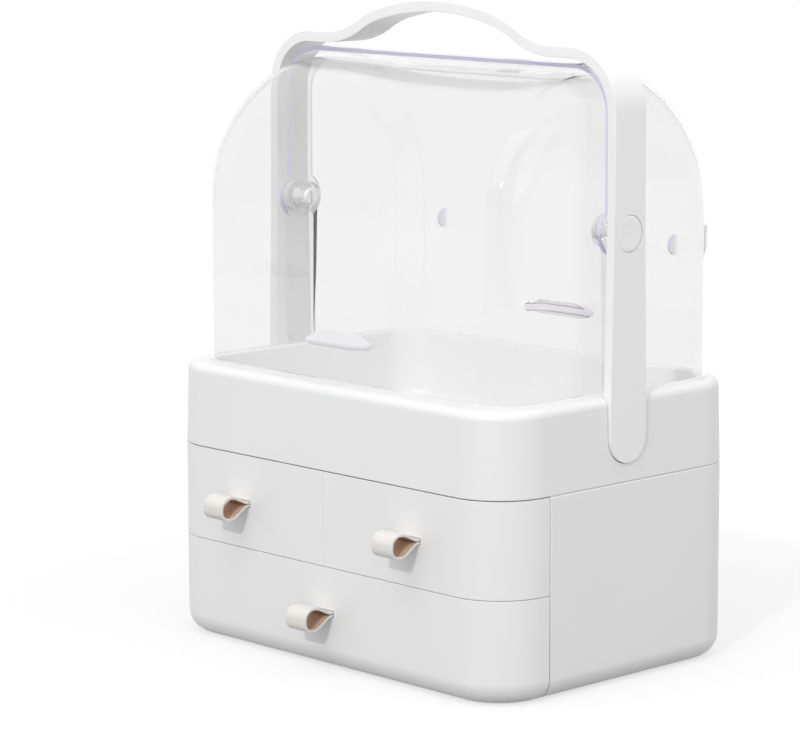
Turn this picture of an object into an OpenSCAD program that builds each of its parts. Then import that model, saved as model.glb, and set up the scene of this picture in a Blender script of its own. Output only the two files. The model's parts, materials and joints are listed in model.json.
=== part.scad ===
// Dustproof makeup organizer: a white drawer housing with two small drawers over a
// wide one, a deep tray on top, a fixed carrying handle, and two clear covers that
// turn on one pivot line near the top of the handle arms.
// Millimetres. Z is up, the drawers face -Y, and the origin is on the floor under
// the middle of the body.

/* [Body] */
// Width of the white body
body_w = 263; // [240:1:300]
// Depth of the white body, without the pulls
body_d = 186; // [172:1:210]
// Radius of the four upright corners
corner_r = 32; // [26:1:36]
// Radius round the bottom edge
bottom_r = 12; // [9:0.5:16]
// Thickness of the rubber pads, which lie flush in the underside
pad_t = 1.2; // [0.8:0.1:1.6]
// Diameter of a rubber pad
pad_d = 14; // [10:1:18]
// Thickness of the housing walls
wall = 2.5; // [2:0.1:3.5]
// Thickness of the housing roof, which the tray stands on
roof_t = 3; // [2.4:0.2:4]
// Thickness of the shelf between the drawer rows
shelf_t = 2.4; // [2:0.2:3.2]
// Thickness of the divider between the small drawers
divider_t = 2.4; // [2:0.2:3.2]
// Width of the shadow lines between body pieces
seam = 0.6; // [0.4:0.1:1]

/* [Drawers] */
// Height of the wide drawer front
low_front_h = 55.2; // [52:0.2:62]
// Height of a small drawer front
high_front_h = 50.6; // [49:0.2:56]
// Gap between the top of a small drawer's box and the roof
box_top_gap = 1.3; // [1:0.1:4]
// Gap between a drawer box and the back wall
box_back_gap = 8.5; // [6:0.5:16]
// Thickness of a drawer front
front_t = 3; // [2.4:0.2:4]
// Thickness of the drawer box walls and floor
box_t = 2; // [1.6:0.1:2.6]
// How far a drawer front wraps round the side of the body
wrap = 37; // [34:1:44]
// Gap between a drawer box side and the wall beside it
box_gap = 1.4; // [1:0.1:2]
// Height of the runners under the drawer boxes
runner_h = 0.7; // [0.5:0.1:1]
// Gap between a drawer box and its runners
run_gap = 0.3; // [0.2:0.05:0.4]

/* [Pulls] */
// Width of the strap of a pull
strap_w = 15; // [12:0.5:18]
// Thickness of the strap
strap_t = 1.6; // [1.2:0.1:2]
// How far a pull sticks out of the drawer front
pull_reach = 20; // [16:0.5:24]
// Radius round the outside of the loop
pull_r = 6.6; // [5.5:0.1:8]
// How far the loop hangs below its slot
pull_drop = 0.9; // [0:0.1:2]
// Thickness of the clip plate inside the drawer
clip_t = 1.6; // [1.2:0.1:2.4]
// How far outside the middle of its front a small drawer's pull sits
pull_off = 0.75; // [0:0.25:3]
// Height of the wide drawer's pull above the lower edge of its front
low_pull_rise = 30.6; // [26:0.2:34]
// Height of a small drawer's pull above the lower edge of its front
high_pull_rise = 24.5; // [20:0.5:30]

/* [Tray] */
// Height of the tray
tray_h = 45; // [42:1:60]
// Radius along the top outer edge of the tray
shoulder_r = 5; // [3:0.5:6]
// Thickness of the tray walls and rim
tray_t = 2.5; // [2:0.1:3]
// Height of the tray's inner floor above its lower edge
basin_rise = 5; // [4.6:0.2:12]
// Radius of the upright corners inside the tray
basin_r = 20; // [14:1:24]

/* [Covers] */
// How far the rear cover, the outer one, stays in from the body's front and back
cover_in = 7.5; // [7:0.5:10]
// Gap between the top of the rear cover and the handle above it
top_gap = 2.7; // [2:0.1:6]
// Radius of the rear cover's rounded corners
cover_corner_r = 24.5; // [18:0.5:26]
// Step in from the rear cover to the front cover at the sides
nest_side = 4; // [3.6:0.2:5]
// Step in from the rear cover to the front cover all round the top
nest_r = 6; // [4:0.5:7]
// Thickness of the clear plastic
cover_t = 2; // [1.6:0.1:2.4]
// How far each cover passes the pivot line, so that they overlap at rest
overlap = 7; // [5:0.5:9]
// Radius of the ears round the pivots
ear_r = 13; // [11:0.5:15]
// Gap between the covers and the tray rim
rim_gap = 0.7; // [0.6:0.1:1.2]
// Width of a finger tab
tab_w = 47; // [36:1:56]
// How far a finger tab stands out
tab_out = 9; // [7:0.5:11]
// Thickness of a finger tab
tab_t = 2.5; // [2:0.1:3.5]
// Height of a finger tab's underside above the tray rim
tab_rise = 22.5; // [14:0.5:40]
// Radius of a stop fin inside the rear cover
fin_r = 5.7; // [4:0.1:7]
// Thickness of a stop fin
fin_t = 1.8; // [1.4:0.1:2.4]
// Distance of a stop fin from the side of the rear cover
fin_in = 35; // [32:0.5:50]
// Distance of the fins' middle below the pivot line
fin_drop = 16.7; // [14:0.1:20]

/* [Handle] */
// How far the handle's arms stand out from the sides of the body
arm_proud = 1; // [0.5:0.1:3]
// Overall height of the object
total_h = 350; // [344:1:366]
// Rise of the handle's middle above its flat shoulders, at the drawn width
crown_rise = 20; // [17:0.5:23]
// Thickness of the handle band
band_t = 5.8; // [5.4:0.1:6.2]
// Width of the band at the top
band_w = 24.4; // [22:0.2:27]
// Width of the arms at their foot in the tray
foot_w = 28.5; // [27:0.5:31]
// Outer radius of the handle's corners
handle_r = 32; // [26:1:36]
// Distance from the tray rim down to the end of an arm
arm_depth = 35; // [28:1:36]
// Gap round an arm in its slot
slot_gap = 0.25; // [0.15:0.05:0.4]

/* [Pivots] */
// Diameter of a pivot pin
pin_d = 8; // [6:0.5:9]
// Diameter of the pin's head inside the arm
head_d = 14; // [12:0.5:15]
// Thickness of the pin's head
head_t = 1.4; // [1:0.1:1.6]
// Diameter of the cap that covers the pin
cap_d = 19; // [17:0.5:20]
// Thickness of the cap
cap_t = 1.7; // [1.4:0.1:2]
// Diameter of the clear boss round the pin
boss_d = 17; // [15:0.5:19]
// Thickness of the washer between the rear cover and the arm
washer_t = 3; // [2.5:0.1:4]
// How far the clear boss stands into the tray space
boss_in = 5; // [4:0.5:7]
// Radial clearance of the pin in its holes
pin_gap = 0.06; // [0.04:0.01:0.09]
// Side clearance along the pivot line
side_gap = 0.2; // [0.15:0.05:0.3]

/* [Screws] */
// Diameter of the screw shanks
screw_d = 3; // [2.6:0.1:3.4]
// Diameter of the countersunk heads
screw_head_d = 5.8; // [5:0.1:6.4]
// Height of the countersunk heads
screw_head_h = 1.7; // [1.4:0.1:2]
// Material left ahead of a screw's tip
screw_left = 1.2; // [0.8:0.1:1.6]

/* [Hidden] */

white = [0.93, 0.93, 0.93];
cream = [0.93, 0.91, 0.88];
clear = [0.85, 0.87, 0.95, 0.35];
steel = [0.7, 0.7, 0.72];
rubber = [0.25, 0.25, 0.26];

$fn = 64;
// Overcut of every cutting shape, so that no skin is left
cut = 0.5;
// Overlap that fuses two shapes of one piece
fuse = 0.01;
front_y = -body_d / 2;
// Levels of the housing, from the floor up
mid_z = low_front_h + seam / 2;
shelf_top = mid_z + shelf_t / 2;
high_front_z = mid_z + seam / 2;
housing_top = high_front_z + high_front_h + seam;
roof_z = housing_top - roof_t;
rim_z = housing_top + tray_h;
// Depth of the groove between housing and tray
groove = 0.8;
// Where the housing's side walls end, behind the drawer fronts' returns
wrap_y = front_y + wrap;
// How far the shelf, the divider and the roof stay behind the drawer fronts' faces
behind = front_t + seam;
// Half width of the drawer boxes, their front and back, and their levels
box_half_w = body_w / 2 - wall - box_gap;
box_y0 = front_y + front_t;
box_y1 = -front_y - wall - box_back_gap;
box_inner_x = divider_t / 2 + box_gap;
low_box_z = wall + runner_h + run_gap;
high_box_z = shelf_top + runner_h + run_gap;
box_h = roof_z - high_box_z - box_top_gap;
box_corner_r = corner_r - wall - box_gap;
// Radius round the bottom edge of a box; the wide one follows its front with some ease
box_ease = 0.5;
low_box_r = bottom_r - front_t - box_ease;
high_box_r = 3;
// Runners: their width, how far they stand in from a box's sides, and where they start.
// They end where the housing's rear corners begin
runner_w = 4;
runner_in = 10;
runner_front = 20;
// Ease of the shelf's rear corners in those of the housing
shelf_ease = 1.5;
// The handle's width and its arms
handle_w = body_w + 2 * arm_proud;
arm_out = handle_w / 2;
arm_in = arm_out - band_t;
arm_foot_z = rim_z - arm_depth;
// Where an arm starts to widen towards the tray, above the pivot line
taper_above = 16;
pocket_x = arm_in - slot_gap;
// The handle's top line is drawn for this width, and grows with the real one
drawn_w = 265;
grow = handle_w / drawn_w;
shoulder_z = total_h - crown_rise * grow;
// The rise in the middle: a wide crown, a tighter shoulder on each side of it, and a
// hollow that runs out into the flat
crown_r = 170 * grow;
crown_x = 45 * grow;
turn_r = 60 * grow;
turn_slope = 31;
// The rear cover's half width, its radius about the pivot line, and that line's level
rear_half_w = arm_in - washer_t - side_gap;
rear_r = body_d / 2 - cover_in;
pivot_z = shoulder_z - band_t - top_gap - rear_r;
fin_x = rear_half_w - fin_in;
// The front cover's size, and the basin below it, whose rim shows inside the walls
front_half_w = rear_half_w - nest_side;
front_r = rear_r - nest_r;
rim_in = 0.5;
basin_half_w = front_half_w - cover_t - rim_in;
basin_y0 = -(front_r - cover_t - rim_in);
basin_y1 = rear_r - cover_t - rim_in;
basin_floor = housing_top + basin_rise;
basin_edge_r = 6;
cover_z = rim_z + rim_gap;
// Radius of the lower corners of a cover's rim
rim_corner = 5;
// Screws of the handle and the tray
screw_tip = 1;
recess_w = 0.7;
recess_depth = 1.1;
hand_screw_y = 6.5;
hand_screw_rise = 9;
hand_screw_z = arm_foot_z + hand_screw_rise;
// Distance of the tray screws from the sides and ends of the body
tray_screw_in = 35;
tray_boss_d = 9;
screw_gap = 0.1;
tray_screw_len = roof_t + basin_rise - screw_left;
hand_screw_len = arm_out - screw_left - basin_half_w;
// Room in a screw's hole past its tip
tip_gap = 0.3;
// Pivot pieces along X, from the outside in
cap_in = arm_out - cap_t;
head_in = cap_in - head_t;
cap_gap = 0.2;
boss_x = front_half_w - cover_t - boss_in;
snap_x = boss_x - side_gap;
snap_len = 1.8;
snap_lip = 0.7;
snap_ease = 0.3;
slit_w = 1.8;
slit_len = 5.5;
washer_d = 16;
washer_ease = 0.5;
washer_bore = pin_d + washer_ease;
// Slots and clips of the pulls
slot_gap_z = 0.2;
slot_gap_x = 0.3;
low_pull_z = low_pull_rise;
high_pull_z = high_front_z + high_pull_rise;
pull_x = body_w / 4 + pull_off;
clip_side = 3.5;
clip_gap = 0.1;
// How far the strap's end shows behind its clip
tail_in = 0.6;
// Where the two layers of a strap part, in front of the drawer front
part_x = 1.2;

// Half of an upright section through a block: its outer edge rounded at the bottom
// by b and at the top by t
module edge_profile(half, h, b, t) {
    translate([0, b]) square([half, h - b - t]);
    square([half - max(b, t), h]);
    if (b > 0) {
        square([half - b, b + fuse]);
        translate([half - b, b]) circle(b);
    }
    if (t > 0) {
        translate([0, h - t - fuse]) square([half - t, t + fuse]);
        translate([half - t, h - t]) circle(t);
    }
}

// A block with rounded upright corners r and rounded bottom and top edges
module rounded_block(w, d, h, r, b = 0, t = 0) {
    for (x = [-1, 1], y = [-1, 1])
        translate([x * (w / 2 - r), y * (d / 2 - r), 0])
            rotate_extrude() edge_profile(r, h, b, t);
    for (a = [[0, d, w], [90, w, d]])
        rotate([90, 0, a[0] + 90])
            translate([0, 0, -(a[2] / 2 - r)])
                linear_extrude(a[2] - 2 * r) {
                    edge_profile(a[1] / 2, h, b, t);
                    mirror([1, 0]) edge_profile(a[1] / 2, h, b, t);
                }
}

// The same block placed by its front and back faces and its level
module block_between(half_w, y0, y1, z0, h, r, b = 0, t = 0) {
    translate([0, (y0 + y1) / 2, z0])
        rounded_block(2 * half_w, y1 - y0, h, r, b, t);
}

// A plain box given by its two corners
module box(a, b) {
    translate(a) cube(b - a);
}

// A cylinder along X between two places
module rod_x(x0, x1, d, y = 0, z = 0) {
    translate([x0, y, z]) rotate([0, 90, 0]) cylinder(d = d, h = x1 - x0);
}

// A screw with a countersunk head and a cross recess: the head's face is at 0 and
// the shank runs along +Z
module screw(length) {
    difference() {
        union() {
            cylinder(d1 = screw_head_d, d2 = screw_d, h = screw_head_h, $fn = 32);
            cylinder(d = screw_d, h = length - screw_tip, $fn = 32);
            translate([0, 0, length - screw_tip])
                cylinder(d1 = screw_d, d2 = screw_d / 2, h = screw_tip, $fn = 32);
        }
        for (a = [0, 90]) rotate([0, 0, a])
            translate([-screw_d / 2, -recess_w / 2, -cut])
                cube([screw_d, recess_w, cut + recess_depth]);
    }
}

// The hole for such a screw, with room all round
module screw_hole(length) {
    translate([0, 0, -cut]) cylinder(d = screw_head_d + 2 * screw_gap, h = cut + fuse);
    cylinder(d1 = screw_head_d + 2 * screw_gap, d2 = screw_d + 2 * screw_gap, h = screw_head_h);
    cylinder(d = screw_d + 2 * screw_gap, h = length + tip_gap);
}

// Puts its children at the four tray screws, pointing up from the roof's underside
module at_tray_screws() {
    for (x = [-1, 1], y = [-1, 1])
        translate([x * (body_w / 2 - tray_screw_in), y * (body_d / 2 - tray_screw_in), roof_z])
            children();
}

// Puts its children at the four handle screws, pointing out from the tray's inside
module at_handle_screws() {
    for (x = [-1, 1], y = [-1, 1])
        translate([x * basin_half_w, y * hand_screw_y, hand_screw_z])
            rotate([0, x * 90, 0]) children();
}

// Puts its children at the four corners of the underside
module at_pads() {
    for (x = [-1, 1], y = [-1, 1])
        translate([x * (body_w / 2 - corner_r), y * (body_d / 2 - corner_r), 0]) children();
}

// Two runners on a floor at level z, at distance x on both sides of the middle
module runners(z, x) {
    for (s = [-1, 1])
        translate([s * x, 0, 0])
            box([-runner_w / 2, front_y + runner_front, z - fuse],
                [runner_w / 2, -front_y - corner_r, z + runner_h]);
}

module drawer_housing() {
    color(white) {
        difference() {
            block_between(body_w / 2, front_y, -front_y, 0, housing_top, corner_r, bottom_r);
            // Bays of the drawer rows, open to the front
            block_between(body_w / 2 - wall, front_y - corner_r, -front_y - wall, wall,
                mid_z - wall, corner_r - wall, bottom_r - wall);
            block_between(body_w / 2 - wall, front_y - corner_r, -front_y - wall, mid_z - cut,
                roof_z - mid_z + cut, corner_r - wall);
            // Room for the drawer fronts round the floor and the roof
            difference() {
                box([-body_w, front_y - cut, -cut], [body_w, wrap_y, housing_top + cut]);
                block_between(body_w / 2 - bottom_r - seam, front_y + bottom_r + seam,
                    -front_y, -2 * cut, wall + 2 * cut, corner_r - bottom_r);
                block_between(body_w / 2 - behind, front_y + behind, -front_y, mid_z,
                    housing_top - mid_z + 2 * cut, corner_r - behind);
            }
            // Shadow groove under the tray
            difference() {
                box([-body_w, front_y - cut, housing_top - seam],
                    [body_w, body_d, housing_top + cut]);
                block_between(body_w / 2 - groove, front_y + groove, -front_y - groove,
                    0, housing_top + 2 * cut, corner_r - groove);
            }
            at_tray_screws() screw_hole(roof_t);
            at_pads() translate([0, 0, -cut])
                cylinder(d = pad_d + 2 * screw_gap, h = pad_t + cut);
        }
        // Runners that carry the wide drawer
        runners(wall, box_half_w - low_box_r - runner_in);
    }
}

module rubber_pads() {
    color(rubber) at_pads() cylinder(d = pad_d, h = pad_t);
}

// The shelf is narrow between the drawer fronts' returns and meets the housing's
// side walls behind them
module drawer_shelf() {
    z = mid_z - shelf_t / 2;
    color(white) {
        block_between(body_w / 2 - behind, front_y + behind, -front_y - wall, z, shelf_t,
            corner_r - behind);
        intersection() {
            block_between(body_w / 2 - wall, front_y, -front_y - wall, z, shelf_t,
                corner_r - wall + shelf_ease);
            box([-body_w, wrap_y, z - cut], [body_w, body_d, z + shelf_t + cut]);
        }
        for (s = [-1, 1])
            translate([s * (box_inner_x + box_half_w) / 2, 0, 0])
                runners(shelf_top, (box_half_w - box_inner_x) / 2 - runner_in);
    }
}

module drawer_divider() {
    color(white)
        box([-divider_t / 2, front_y + behind, shelf_top],
            [divider_t / 2, -front_y - wall, roof_z]);
}

// An arm seen from the side: a round foot, then straight, then narrower to the top
module arm_outline(gap) {
    r = foot_w / 2 + gap;
    top = band_w / 2 + gap;
    end_z = 2 * total_h;
    polygon(concat(
        [[r, rim_z], [top, pivot_z + taper_above], [top, end_z],
         [-top, end_z], [-top, pivot_z + taper_above], [-r, rim_z]],
        arc(0, arm_foot_z + foot_w / 2, r, 180, 360, 24)
    ));
}

// The same outline as a slab across the whole width
module arm_slab(gap) {
    rotate([90, 0, 90]) translate([0, 0, -handle_w])
        linear_extrude(2 * handle_w) arm_outline(gap);
}

module top_tray() {
    color(white) difference() {
        block_between(body_w / 2, front_y, -front_y, housing_top, tray_h, corner_r, 0, shoulder_r);
        // The basin
        block_between(basin_half_w, basin_y0, basin_y1, basin_floor, rim_z - basin_floor + cut,
            basin_r, basin_edge_r);
        // The hollow under the rim, round the basin, with its bosses left standing
        difference() {
            block_between(body_w / 2 - tray_t, front_y + tray_t, -front_y - tray_t,
                housing_top - cut, tray_h - shoulder_r + cut, corner_r - tray_t);
            block_between(basin_half_w + tray_t, basin_y0 - tray_t, basin_y1 + tray_t,
                basin_floor - tray_t, rim_z - basin_floor, basin_r + tray_t, basin_edge_r);
            for (s = [0, 1]) mirror([s, 0, 0])
                box([basin_half_w, -foot_w / 2 - tray_t, housing_top - 2 * cut],
                    [body_w, foot_w / 2 + tray_t, rim_z]);
            at_tray_screws() cylinder(d = tray_boss_d, h = roof_t + basin_rise);
        }
        // Pockets for the handle's arms
        for (s = [0, 1]) mirror([s, 0, 0])
            intersection() {
                arm_slab(slot_gap);
                box([pocket_x, -foot_w, arm_foot_z - 2 * slot_gap],
                    [body_w, foot_w, rim_z + cut]);
            }
        at_handle_screws() screw_hole(hand_screw_len);
        at_tray_screws() screw_hole(tray_screw_len);
    }
}

module tray_screws() {
    color(steel) at_tray_screws() screw(tray_screw_len);
}

module handle_screws() {
    color(steel) at_handle_screws() screw(hand_screw_len);
}

// Points along an arc about [cx, cz], in the plane of the band
function arc(cx, cz, r, a0, a1, n) =
    [for (i = [0:n]) let (a = a0 + (a1 - a0) * i / n) [cx + r * cos(a), cz + r * sin(a)]];

// Right half of the band's top line from the middle outwards, moved in by s
crown_a = asin(crown_x / crown_r);
turn_cx = crown_x - turn_r * sin(crown_a);
turn_cz = total_h - crown_r + (crown_r - turn_r) * cos(crown_a);
turn_end_z = turn_cz + turn_r * cos(turn_slope);
turn_end_x = turn_cx + turn_r * sin(turn_slope);
hollow_r = (turn_end_z - shoulder_z) / (1 - cos(turn_slope));
hollow_x = turn_end_x + hollow_r * sin(turn_slope);

function band_line(s) = concat(
    arc(0, total_h - crown_r, crown_r - s, 90, 90 - crown_a, 8),
    arc(turn_cx, turn_cz, turn_r - s, 90 - crown_a - 3, 90 - turn_slope, 4),
    arc(hollow_x, shoulder_z + hollow_r, hollow_r + s, 270 - turn_slope, 270, 8)
);

// The space under the band's outer line moved in by s, seen from the front, down to
// a level
module band_side(s, low) {
    line = band_line(s);
    flipped = [for (i = [len(line) - 1:-1:1]) [-line[i][0], line[i][1]]];
    polygon(concat(
        [[-(arm_out - s), low]],
        arc(-(arm_out - handle_r), shoulder_z - handle_r, handle_r - s, 180, 90, 16),
        flipped, line,
        arc(arm_out - handle_r, shoulder_z - handle_r, handle_r - s, 90, 0, 16),
        [[arm_out - s, low]]
    ));
}

module handle() {
    color(white) difference() {
        intersection() {
            rotate([90, 0, 0]) translate([0, 0, -foot_w])
                linear_extrude(2 * foot_w) difference() {
                    band_side(0, arm_foot_z - cut);
                    band_side(band_t, arm_foot_z - 2 * cut);
                }
            arm_slab(0);
        }
        for (s = [0, 1]) mirror([s, 0, 0]) {
            rod_x(arm_in - cut, arm_out + cut, pin_d + 2 * pin_gap, 0, pivot_z);
            rod_x(head_in, arm_out + cut, head_d + 2 * cap_gap, 0, pivot_z);
            rod_x(cap_in, arm_out + cut, cap_d + 2 * cap_gap, 0, pivot_z);
        }
        at_handle_screws() screw_hole(hand_screw_len);
    }
}

// A pin on the right side: its head in the arm, its split end past the clear boss
module pivot_pin() {
    difference() {
        union() {
            rod_x(head_in, cap_in, head_d, 0, pivot_z);
            rod_x(snap_x - snap_len, head_in + fuse, pin_d, 0, pivot_z);
            translate([snap_x, 0, pivot_z]) rotate([0, -90, 0])
                cylinder(d1 = pin_d + 2 * snap_lip, d2 = pin_d - 2 * snap_ease, h = snap_len);
        }
        translate([snap_x - snap_len - cut, -slit_w / 2, pivot_z - pin_d])
            cube([slit_len + cut, slit_w, 2 * pin_d]);
    }
}

module pivot_pin_right() { color(white) pivot_pin(); }
module pivot_pin_left() { color(white) mirror([1, 0, 0]) pivot_pin(); }

module pivot_cap() {
    rod_x(cap_in, arm_out, cap_d, 0, pivot_z);
}

module pivot_cap_right() { color(white) pivot_cap(); }
module pivot_cap_left() { color(white) mirror([1, 0, 0]) pivot_cap(); }

module pivot_washer() {
    difference() {
        rod_x(rear_half_w + side_gap, arm_in, washer_d, 0, pivot_z);
        rod_x(rear_half_w - cut, arm_in + cut, washer_bore, 0, pivot_z);
    }
}

module pivot_washer_right() { color(white) pivot_washer(); }
module pivot_washer_left() { color(white) mirror([1, 0, 0]) pivot_washer(); }

// The full form that a cover is cut from: upright below the pivot line, and turned
// about that line above it
module cover_form(half_w, r, rc, z0) {
    block_between(half_w, -r, r, z0, pivot_z - z0, rc);
    translate([0, 0, pivot_z]) rotate([0, 90, 0]) translate([0, 0, -half_w])
        rotate_extrude() edge_profile(r, 2 * half_w, rc, rc);
}

// A shell of the form, kept on the -Y side as far as the overlap, with an ear at
// each pivot and the lower corners of its rim rounded
module cover_shell(half_w, r, rc) {
    intersection() {
        difference() {
            cover_form(half_w, r, rc, cover_z);
            cover_form(half_w - cover_t, r - cover_t, rc - cover_t, cover_z - cut);
        }
        union() {
            difference() {
                box([-body_w, -body_d, cover_z], [body_w, overlap, total_h]);
                difference() {
                    box([-body_w, overlap - rim_corner, cover_z - cut],
                        [body_w, overlap + cut, cover_z + rim_corner]);
                    translate([-body_w, overlap - rim_corner, cover_z + rim_corner])
                        rotate([0, 90, 0]) cylinder(r = rim_corner, h = 2 * body_w);
                }
            }
            rod_x(-body_w, body_w, 2 * ear_r, 0, pivot_z);
        }
    }
}

module pin_bores() {
    rod_x(-body_w, body_w, pin_d + 2 * pin_gap, 0, pivot_z);
}

module front_cover() {
    color(clear) difference() {
        union() {
            cover_shell(front_half_w, front_r, cover_corner_r - nest_side);
            for (s = [0, 1]) mirror([s, 0, 0])
                rod_x(boss_x, rear_half_w - cover_t - side_gap, boss_d, 0, pivot_z);
        }
        pin_bores();
    }
}

module rear_cover() {
    color(clear) {
        difference() {
            mirror([0, 1, 0]) cover_shell(rear_half_w, rear_r, cover_corner_r);
            pin_bores();
        }
        // Stop fins that the rim of the other cover meets when one is thrown open
        intersection() {
            for (s = [-1, 1])
                rod_x(s * fin_x - fin_t / 2, s * fin_x + fin_t / 2, 2 * fin_r,
                    rear_r - cover_t, pivot_z - fin_drop);
            box([-body_w, 0, 0], [body_w, rear_r - cover_t + fuse, total_h]);
        }
    }
}

// A half-moon shelf on a wall at distance r in front of the pivot line
module finger_tab(r) {
    tab_r = (tab_w * tab_w / 4 + tab_out * tab_out) / (2 * tab_out);
    z0 = rim_z + tab_rise;
    intersection() {
        translate([0, -r - tab_out + tab_r, z0]) cylinder(r = tab_r, h = tab_t);
        box([-tab_w, -r - 2 * tab_out, z0 - cut], [tab_w, -r, z0 + tab_t + cut]);
    }
}

module front_finger_tab() { color(clear) finger_tab(front_r); }
module rear_finger_tab() { color(clear) mirror([0, 1, 0]) finger_tab(rear_r); }

// The skin of a drawer front, wrapped round the corners, from level z0 up: its lower
// edge is rounded by b, and turns in under the drawer as far as the housing's floor
module front_skin(z0, h, b) {
    inner_z = b > 0 ? z0 + front_t : z0 - cut;
    difference() {
        block_between(body_w / 2, front_y, -front_y, z0, h, corner_r, b);
        block_between(body_w / 2 - front_t, front_y + front_t, body_d, inner_z,
            z0 + h + cut - inner_z, corner_r - front_t, max(b - front_t, 0));
        box([-body_w, wrap_y - seam, z0 - cut], [body_w, body_d, z0 + h + cut]);
        if (b > 0)
            block_between(body_w / 2 - b, front_y + b, body_d, z0 - cut,
                cut + front_t + fuse, corner_r - b);
    }
}

// Slot for a pull at x, z, through a front and the box wall behind it
module pull_slot(x, z) {
    w = strap_w / 2 + slot_gap_x;
    h = strap_t + slot_gap_z;
    box([x - w, front_y - cut, z - h], [x + w, box_y0 + box_t + cut, z + h]);
}

module low_box_form(inset, z_in) {
    block_between(box_half_w - inset, box_y0 + inset, box_y1 - inset, low_box_z + z_in,
        box_h, box_corner_r - inset, low_box_r - inset / 2);
}

module bottom_drawer_box() {
    color(white) difference() {
        low_box_form(0, 0);
        low_box_form(box_t, box_t);
        pull_slot(0, low_pull_z);
    }
}

module bottom_drawer_front() {
    color(white) difference() {
        front_skin(0, low_front_h, bottom_r);
        pull_slot(0, low_pull_z);
    }
}

// One side of the body's width, kept for the small drawer on the right
module small_box_form(inset, z_in) {
    intersection() {
        block_between(box_half_w - inset, box_y0 + inset, box_y1 - inset, high_box_z + z_in,
            box_h, box_corner_r - inset, high_box_r - inset / 2);
        box([box_inner_x + inset, -body_d, 0], [body_w, body_d, total_h]);
    }
}

module small_drawer_box() {
    difference() {
        small_box_form(0, 0);
        small_box_form(box_t, box_t);
        pull_slot(pull_x, high_pull_z);
    }
}

module small_drawer_front() {
    difference() {
        front_skin(high_front_z, high_front_h, 0);
        box([-body_w, -body_d, 0], [seam / 2, body_d, rim_z]);
        pull_slot(pull_x, high_pull_z);
    }
}

module right_drawer_box() { color(white) small_drawer_box(); }
module left_drawer_box() { color(white) mirror([1, 0, 0]) small_drawer_box(); }
module right_drawer_front() { color(white) small_drawer_front(); }
module left_drawer_front() { color(white) mirror([1, 0, 0]) small_drawer_front(); }

// The far side of a loop round c with radius r, between its tangents from a point
function loop_arc(c, r, from) =
    let (
        way = c - from,
        base = atan2(way[1], way[0]),
        spread = acos(r / norm(way))
    )
    arc(c[0], c[1], r, base + 180 - spread, base - 180 + spread, 24);

// The folded strap from the side, X pointing out of the drawer front and Y up: two
// layers through the front, which part into a loop before it
module strap_side() {
    c = [pull_reach - pull_r, -pull_drop];
    tail_x = -(front_t + box_t + clip_t + tail_in);
    difference() {
        polygon(concat([[tail_x, strap_t], [0, strap_t]], loop_arc(c, pull_r, [0, 0]),
            [[0, -strap_t], [tail_x, -strap_t]]));
        polygon(concat([[part_x, 0]], loop_arc(c, pull_r - strap_t, [part_x, 0])));
    }
}

module drawer_pull(x, z) {
    translate([x + strap_w / 2, front_y, z]) rotate([90, 0, -90])
        linear_extrude(strap_w) strap_side();
}

module pull_clip(x, z) {
    y0 = box_y0 + box_t;
    w = strap_w / 2 + clip_gap;
    h = strap_t + clip_gap;
    difference() {
        box([x - w - clip_side, y0, z - h - clip_side],
            [x + w + clip_side, y0 + clip_t, z + h + clip_side]);
        box([x - w, y0 - cut, z - h], [x + w, y0 + clip_t + cut, z + h]);
    }
}

module left_drawer_pull() { color(cream) drawer_pull(-pull_x, high_pull_z); }
module right_drawer_pull() { color(cream) drawer_pull(pull_x, high_pull_z); }
module bottom_drawer_pull() { color(cream) drawer_pull(0, low_pull_z); }
module left_pull_clip() { color(white) pull_clip(-pull_x, high_pull_z); }
module right_pull_clip() { color(white) pull_clip(pull_x, high_pull_z); }
module bottom_pull_clip() { color(white) pull_clip(0, low_pull_z); }

drawer_housing();
drawer_shelf();
drawer_divider();
rubber_pads();
top_tray();
tray_screws();
handle();
handle_screws();
pivot_pin_left();
pivot_pin_right();
pivot_cap_left();
pivot_cap_right();
pivot_washer_left();
pivot_washer_right();
front_cover();
front_finger_tab();
rear_cover();
rear_finger_tab();
left_drawer_box();
left_drawer_front();
left_drawer_pull();
left_pull_clip();
right_drawer_box();
right_drawer_front();
right_drawer_pull();
right_pull_clip();
bottom_drawer_box();
bottom_drawer_front();
bottom_drawer_pull();
bottom_pull_clip();
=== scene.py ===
# %% [markdown]
# # A dustproof makeup organizer
#
# The object is a white moulded housing with two small drawers over a wide one, a deep
# tray on top, a carrying handle, and two clear covers that turn on one pivot line. The
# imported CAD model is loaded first. It is the fixed frame: every piece made below rides
# on one of its bodies and stays inside its box.

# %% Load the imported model
import json
import math

import bmesh
import bpy
from mathutils import Matrix, Vector

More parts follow.
